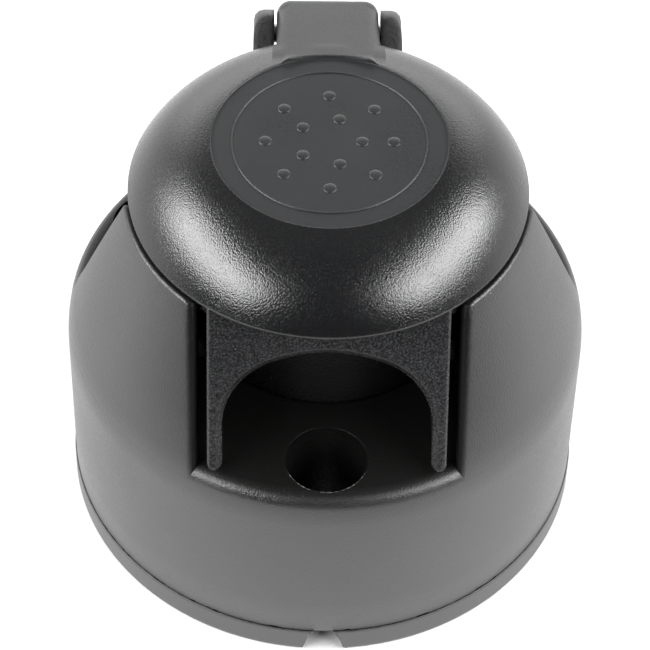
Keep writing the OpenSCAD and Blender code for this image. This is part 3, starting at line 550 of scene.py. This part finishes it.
def windowLitShare(x, y, z):
    # painted shade: the shell's outer look darkens towards the windows' sides, more so higher above the shelf
    nearest = 1.0
    for a in map(math.radians, well["angles"]):
        if x * math.cos(a) + y * math.sin(a) > 0:
            across = abs(y * math.cos(a) - x * math.sin(a)) - shell["frontSide"][0]
            nearest = min(nearest, max(0.0, across / windowShade["reach"]))
    height = limited((z - shell["shelf"]) / windowShade["rise"])
    return 1.0 - windowShade["loss"] * (1.0 - nearest) * height

def markPaintedShade(piece, fade):
    # 1 on the outer skin of the shell, less near the windows, and 0 in its windows, wells and hollow; the
    # lower the value, the more shade is painted there
    skinShade = piece.data.attributes.new("skinShade", "FLOAT", "POINT")
    for vertex, value in zip(piece.data.vertices, skinShade.data):
        x, y, z = [c / mm for c in vertex.co]
        depth = shellRadius(z) - math.hypot(x, y)
        value.value = limited(1.0 - (depth - windowShade["skinDepth"]) / fade) * windowLitShare(x, y, z)

# the space is the outline of the shell's hollow that the bosses have to stay in
boss = {"hole": 2.75, "radius": 8.25, "foot": 1.6, "seat": 3.6, "into": 0.05, "segments": 72,
        "space": ((nearAxis, 0.5), (37.2, 0.5), (37.2, 4.9), (39.6, 5.2)), "spaceInset": 1.2,
        "spaceLevels": (20, 31.4, 32.5, 33.5, 34.5, 35.5, 36.5), "spaceSegments": 144}

def makeBosses():
    hole, bore, out, foot = boss["hole"], well["radius"], boss["radius"], boss["foot"]
    seatZ, top = foot + boss["seat"], shell["shelf"] - shell["deck"] + boss["into"]
    outline = [(hole, foot), (out, foot), (out, top), (bore, top), (bore, seatZ), (hole, seatZ)]
    piece = buildPiece("boss", *lathe(outline, boss["segments"]), finishes["shell"])
    bosses = turnedCopies("screwBosses", piece, len(well["angles"]), well["angles"][0], well["circle"],
                          finishes["shell"])
    space = [*boss["space"], *[(shellRadius(z, boss["spaceInset"]), z) for z in boss["spaceLevels"]],
            (nearAxis, boss["spaceLevels"][-1])]
    limit = buildPiece("limit", *lathe(space, boss["spaceSegments"]), finishes["shell"])
    return cutWith(bosses, [limit], "INTERSECT")

burr = {"size": 0.11, "least": 0.012, "start": -160, "end": -20, "steps": 140, "fadeSteps": 8, "sides": 8,
        "slowWave": 5.3, "slowShift": 0.4, "fastWave": 19.7, "sharpAngle": 60}

def makeBurr():
    # ragged moulding flash left along the front edge of the front well
    rings = []
    steps, fade, edgeRadius = burr["steps"], burr["fadeSteps"], well["radius"] + well["edge"]
    for k in range(steps + 1):
        a = math.radians(burr["start"] + (burr["end"] - burr["start"]) * k / steps)
        ragged = abs(math.sin(burr["slowWave"] * a + burr["slowShift"]) * math.sin(burr["fastWave"] * a))
        size = burr["least"] + burr["size"] * (ragged * min(1.0, k / fade, (steps - k) / fade))
        section = arcPoints(edgeRadius, shell["shelf"], size, 0.0, 2 * math.pi, burr["sides"])
        rings.append([(r * math.cos(a), r * math.sin(a) - well["circle"], z) for r, z in section[:-1]])
    return buildPiece("wellBurr", *loft(rings), finishes["gasket"], burr["sharpAngle"])

frontSide, backSide = shell["frontSide"], shell["backSide"]
posts = {"shellPostRight": (330, shell["rimHeight"], [backSide, frontSide]),
         "shellPostLeft": (210, shell["rimHeight"], [frontSide, backSide]),
         "shellPostBack": (90, shell["notchFloor"], [frontSide, frontSide])}
shellPieces = [makeLowerShell()]
shellPieces += [makePost(name, *settings) for name, settings in posts.items()]
shellPieces += [makeBosses()]
for piece in shellPieces:
    markPaintedShade(piece, windowShade["postFade"] if "Post" in piece.name else windowShade["lipFade"])
    settle(piece, "socket", "outer_shell")
settle(makeBurr(), "socket", "outer_shell")
print("outer shell made")


# foot points are an inset and a height; top points an inset, a drop from the top edge, and 1 where they
# follow its unevenness
gasket = {"radius": 41.0, "band": 3.6, "height": 4.8, "notchLow": 3.1, "notchHigh": 2.35, "notchFoot": 0.7,
          "notchTop": 1.15, "innerEdge": 0.2, "foot": ((0.45, 0.0), (0.13, 0.13), (0.0, 0.45)),
          "levels": (0.9, 1.8, 2.7, 3.3, 3.7, 4.0), "looseLevel": 4.3,
          "top": ((0.03, 0.12, 1), (0.12, 0.02, 1), (0.5, 0.1, 1), (0.9, 0.3, 1), (1.3, 0.3, 0),
                  (1.4, 0.02, 0)),
          "innerTop": (0.02, 0.3), "innerMiddle": 2.4, "steps": 560, "sharpAngle": 40}
gap = {"size": 0.13, "seed": 7.3, "circle": 9, "share": 0.7, "fineScale": 3.7, "fineFrom": 0.12,
       "fineShare": 1.1, "least": 0.12}
pad = {"radius": 9.25, "height": 1.6, "edge": 0.3, "segments": 72, "bandInset": 1.8, "below": -1, "above": 3,
       "spaceSegments": 144, "slotFrom": -10, "slotTo": -45}

def notchHalf(z):
    # half the width of the drain notch at a height: rounded foot, leaning side, rounded top
    foot, top, high = gasket["notchFoot"], gasket["notchTop"], gasket["height"]
    wide, narrow = gasket["notchLow"], gasket["notchHigh"]
    if z < foot:
        return wide + foot - math.sqrt(max(0, foot ** 2 - (foot - z) ** 2))
    if z > high - top:
        return narrow - (top - math.sqrt(max(0, top ** 2 - (z - high + top) ** 2)))
    return wide + (narrow - wide) * (z - foot) / (high - top - foot)

def gapDepth(a):
    # how far the uneven top edge dips at an angle, as a share of the gap's size
    spot = Vector((math.cos(a) * gap["circle"], math.sin(a) * gap["circle"], gap["seed"]))
    coarse = max(0.0, noise.noise(spot)) * gap["share"]
    fine = max(0.0, noise.noise(spot * gap["fineScale"]) - gap["fineFrom"]) * gap["fineShare"]
    return coarse + fine + gap["least"]

def makeBand():
    out, inn, high = gasket["radius"], gasket["radius"] - gasket["band"], gasket["height"]
    edge, (drop, lowDrop) = gasket["innerEdge"], gasket["innerTop"]
    outline = [(inn, edge, 0), (inn + edge, 0, 0)]
    outline += [(out - inset, z, 0) for inset, z in gasket["foot"]]
    outline += [(out, z, 0) for z in gasket["levels"]] + [(out, gasket["looseLevel"], 1)]
    outline += [(out - inset, high - down, loose) for inset, down, loose in gasket["top"]]
    outline += [(inn + edge, high - drop, 0), (inn, high - lowDrop, 0), (inn, gasket["innerMiddle"], 0)]
    rings = []
    for k in range(gasket["steps"] + 1):
        ring = []
        for r, z, loose in outline:
            side = math.asin(notchHalf(min(z, high)) / r)
            a = -math.pi / 2 + side + (2 * math.pi - 2 * side) * k / gasket["steps"]
            ring.append((r * math.cos(a), r * math.sin(a), z - loose * gap["size"] * gapDepth(a)))
        rings.append(ring)
    return buildPiece("gasketBand", *loft(rings), finishes["gasket"], gasket["sharpAngle"])

def makePads():
    hole, out, high, edge = boss["hole"], pad["radius"], pad["height"], pad["edge"]
    outline = [(hole, 0.0), (out - edge, 0.0), (out, edge), (out, high), (hole, high)]
    piece = buildPiece("pad", *lathe(outline, pad["segments"]), finishes["gasket"])
    pads = turnedCopies("gasketPads", piece, len(well["angles"]), well["angles"][0], well["circle"],
                        finishes["gasket"])
    reach, below, above = gasket["radius"] - pad["bandInset"], pad["below"], pad["above"]
    space = [(nearAxis, below), (reach, below), (reach, above), (nearAxis, above)]
    limit = buildPiece("limit", *lathe(space, pad["spaceSegments"]), finishes["gasket"])
    pads = cutWith(pads, [limit], "INTERSECT")
    # the drain notch runs on through the front pad
    w = gasket["notchLow"]
    corners = ((-w, below), (w, below), (w, above), (-w, above))
    slot = [[(x, y, z) for x, z in corners] for y in (pad["slotFrom"], pad["slotTo"])]
    return cutWith(pads, [buildPiece("drain", *loft(slot), finishes["gasket"])])

for piece in (makeBand(), makePads()):
    settle(piece, "socket", "base_gasket")
print("base gasket made")


motif = {"ringRadius": 14.6, "lineRadius": 0.16, "height": 73.0, "outerDots": 8, "outerCircle": 9.6,
         "innerDots": 5, "innerCircle": 4.9, "dotRadius": 1.05, "dotFlatness": 0.14, "dotSegments": 24,
         "dotRings": 12, "ringSteps": 160, "lineSteps": 12}

def makeMotifTree():
    # a raised ring and two circles of flattened dots, lifted to a height
    tree, given, made = newTree("discMotif", [("Ring radius", "Float"), ("Line radius", "Float"),
                                              ("Height", "Float"), ("Outer dots", "Int"),
                                              ("Outer circle", "Float"), ("Inner dots", "Int"),
                                              ("Inner circle", "Float"), ("Dot radius", "Float"),
                                              ("Finish", "Material")])
    ring = addNode(tree, "GeometryNodeCurvePrimitiveCircle", {"Resolution": motif["ringSteps"]},
                   Radius=given["Ring radius"])
    line = addNode(tree, "GeometryNodeCurvePrimitiveCircle", {"Resolution": motif["lineSteps"]},
                   Radius=given["Line radius"])
    tube = addNode(tree, "GeometryNodeCurveToMesh", {}, s0=ring.outputs["Curve"], s1=line.outputs["Curve"])
    join = addNode(tree, "GeometryNodeJoinGeometry", {}, s0=tube.outputs[0])
    bead = addNode(tree, "GeometryNodeMeshUVSphere",
                   {"Segments": motif["dotSegments"], "Rings": motif["dotRings"]}, Radius=given["Dot radius"])
    for row in ("Outer", "Inner"):
        circle = addNode(tree, "GeometryNodeCurvePrimitiveCircle", {},
                         Resolution=given[row + " dots"], Radius=given[row + " circle"])
        spots = addNode(tree, "GeometryNodeCurveToPoints", {"mode": "EVALUATED"},
                        Curve=circle.outputs["Curve"])
        copies = addNode(tree, "GeometryNodeInstanceOnPoints", {"Scale": (1, 1, motif["dotFlatness"])},
                         Points=spots.outputs["Points"], Instance=bead.outputs["Mesh"])
        tree.links.new(copies.outputs[0], join.inputs[0])
    rise = addNode(tree, "ShaderNodeCombineXYZ", {}, Z=given["Height"])
    lift = addNode(tree, "GeometryNodeTransform", {}, Geometry=join.outputs[0], Translation=rise.outputs[0])
    return closeTree(tree, given, made, lift.outputs[0])

discMotif = grow("lidMotif", makeMotifTree(),
                 {"Ring radius": motif["ringRadius"] * mm, "Line radius": motif["lineRadius"] * mm,
                  "Height": motif["height"] * mm, "Dot radius": motif["dotRadius"] * mm,
                  "Outer dots": motif["outerDots"], "Outer circle": motif["outerCircle"] * mm,
                  "Inner dots": motif["innerDots"], "Inner circle": motif["innerCircle"] * mm,
                  "Finish": finishes["lid"]})
discMotif.data.shade_smooth()
settle(discMotif, "lid", None)
print("lid motif made")


spring = {"coilRadius": 2.75, "wireRadius": 0.45, "turns": 5.5, "half": 3.0, "lowLeg": 4.55, "highLeg": 4.95,
          "legSteps": 6, "turnSteps": 32, "sides": 16, "sharpAngle": 50}
hinge = next(joint for joint in frame["joints"] if joint["name"] == "lid_hinge")

def springPath():
    # low leg under the hinge, the coil round the pin, then the leg that presses on the lid
    _, y, z = [c / mm for c in hinge["pos_m"]]
    r, half, leg = spring["coilRadius"], spring["half"], spring["legSteps"]
    path = [(-half, y - spring["lowLeg"] * (1 - k / leg), z - r) for k in range(leg)]
    steps = int(spring["turns"] * spring["turnSteps"])
    for k in range(steps + 1):
        turn = 2 * math.pi * spring["turns"] * k / steps
        path.append((-half + 2 * half * k / steps, y - r * math.sin(turn), z - r * math.cos(turn)))
    return path + [(half, y - spring["highLeg"] * k / leg, z + r) for k in range(1, leg + 1)]

def makeWireTree():
    # a round wire along the edges of an object
    tree, given, made = newTree("wireAlongPath", [("Path", "Object"), ("Wire radius", "Float"),
                                                  ("Finish", "Material")])
    source = addNode(tree, "GeometryNodeObjectInfo", {}, Object=given["Path"])
    curve = addNode(tree, "GeometryNodeMeshToCurve", {}, Mesh=source.outputs["Geometry"])
    section = addNode(tree, "GeometryNodeCurvePrimitiveCircle", {"Resolution": spring["sides"]},
                      Radius=given["Wire radius"])
    tube = addNode(tree, "GeometryNodeCurveToMesh", {"Fill Caps": True}, s0=curve.outputs[0],
                   s1=section.outputs["Curve"])
    return closeTree(tree, given, made, tube.outputs[0])

def makeSpring():
    points = [tuple(c * mm for c in p) for p in springPath()]
    line = bpy.data.meshes.new("springLine")
    line.from_pydata(points, [(k, k + 1) for k in range(len(points) - 1)], [])
    path = bpy.data.objects.new("springLine", line)
    bpy.context.scene.collection.objects.link(path)
    wire = grow("hingeSpring", makeWireTree(),
                {"Path": path, "Wire radius": spring["wireRadius"] * mm, "Finish": finishes["steel"]})
    bpy.data.objects.remove(path)
    wire.data.shade_smooth()
    wire.data.set_sharp_from_angle(angle=math.radians(spring["sharpAngle"]))
    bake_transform(wire)
    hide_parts("lid_spring")

makeSpring()
print("hinge spring made")


ground = {"half": 4, "drop": 0.0001, "lit": (0.6, 0.6, 0.6), "seen": (0.92, 0.92, 0.92), "roughness": 0.9,
          "fadeY": (-0.2, -0.045), "glow": (0.15, 1.36), "whiteReach": (0.15, 0.4)}

def makeFloor():
    half = ground["half"]
    corners = [(-half, -half, 0), (half, -half, 0), (half, half, 0), (-half, half, 0)]
    mesh = bpy.data.meshes.new("floor")
    mesh.from_pydata(corners, [], [(0, 1, 2, 3)])
    floor = bpy.data.objects.new("floor", mesh)
    bpy.context.scene.collection.objects.link(floor)
    material, tree, shader = newMaterial("floorWhite")
    rays = tree.nodes.new("ShaderNodeLightPath").outputs
    color = blendColor(tree, rays["Is Camera Ray"], ground["lit"], ground["seen"])
    tree.links.new(color, shader.inputs["Base Color"])
    shader.inputs["Roughness"].default_value = ground["roughness"]
    # painted reflection: in reflections the floor glows, brightest under and behind the object and fading
    # towards the front
    spot = splitPlace(tree)
    level = ramp(tree, spot["axes"]["Y"], *ground["fadeY"], *ground["glow"])
    # seen directly, it turns to the white of the background further out
    white = ramp(tree, spot["reach"], *ground["whiteReach"], 0.0, 1.0)
    seen = calc(tree, "MULTIPLY", rays["Is Camera Ray"], white)
    level = calc(tree, "MAXIMUM", level, rays["Is Camera Ray"])
    glow = addNode(tree, "ShaderNodeEmission", {}, Strength=level)
    mirrored = calc(tree, "MAXIMUM", rays["Is Glossy Ray"], rays["Is Transmission Ray"])
    mix = addNode(tree, "ShaderNodeMixShader", {}, s0=calc(tree, "MAXIMUM", mirrored, seen),
                  s1=shader.outputs[0], s2=glow.outputs[0])
    tree.links.new(mix.outputs[0], tree.nodes["Material Output"].inputs["Surface"])
    mesh.materials.append(material)
    floor.location.z = -ground["drop"]

sideLamp = {"aim": (0, 0, 0.07), "size": (1.0, 0.37), "power": 11.8}
lamps = {"leftLight": {**sideLamp, "place": (-0.65, -0.17, 0.50)},
         "rightLight": {**sideLamp, "place": (0.65, -0.17, 0.50)},
         "backLight": {"place": (0, 0.9, 0.40), "aim": (0, 0, 0.03), "size": (1.4, 0.5), "power": 3.2}}

def softLight(name, lamp):
    data = bpy.data.lights.new(name, "AREA")
    data.shape = "RECTANGLE"
    data.size, data.size_y = lamp["size"]
    data.energy = lamp["power"]
    light = bpy.data.objects.new(name, data)
    bpy.context.scene.collection.objects.link(light)
    light.location = lamp["place"]
    light.rotation_euler = (Vector(lamp["aim"]) - Vector(lamp["place"])).to_track_quat("-Z", "Y").to_euler()

# the span behind runs from front to back, and the span of low from low to high, as parts of a direction
room = {"dim": 0.06, "light": 1.12, "behind": (-0.55, 0.15), "low": (0.2, 0.6), "overhead": 0.12}

def makeRoom():
    # a pale room that is lightest low down behind and beside the object, and dim in front and overhead
    world = bpy.data.worlds.new("studio")
    bpy.context.scene.world = world
    world.use_nodes = True
    tree = world.node_tree
    direction = tree.nodes.new("ShaderNodeTexCoord").outputs["Generated"]
    axes = addNode(tree, "ShaderNodeSeparateXYZ", {}, s0=direction).outputs
    behind = ramp(tree, axes["Y"], *room["behind"], 0.0, 1.0)
    low = ramp(tree, axes["Z"], *room["low"], 1.0, room["overhead"])
    level = ramp(tree, calc(tree, "MULTIPLY", behind, low), 0.0, 1.0, room["dim"], room["light"])
    rays = tree.nodes.new("ShaderNodeLightPath").outputs
    shown = calc(tree, "MAXIMUM", level, rays["Is Camera Ray"])
    tree.links.new(shown, tree.nodes["Background"].inputs["Color"])
    tree.nodes["Background"].inputs["Strength"].default_value = 1.0

makeFloor()
for name, lamp in lamps.items():
    softLight(name, lamp)
makeRoom()
bpy.context.scene.view_settings.view_transform = "Standard"
print("floor and lights placed")
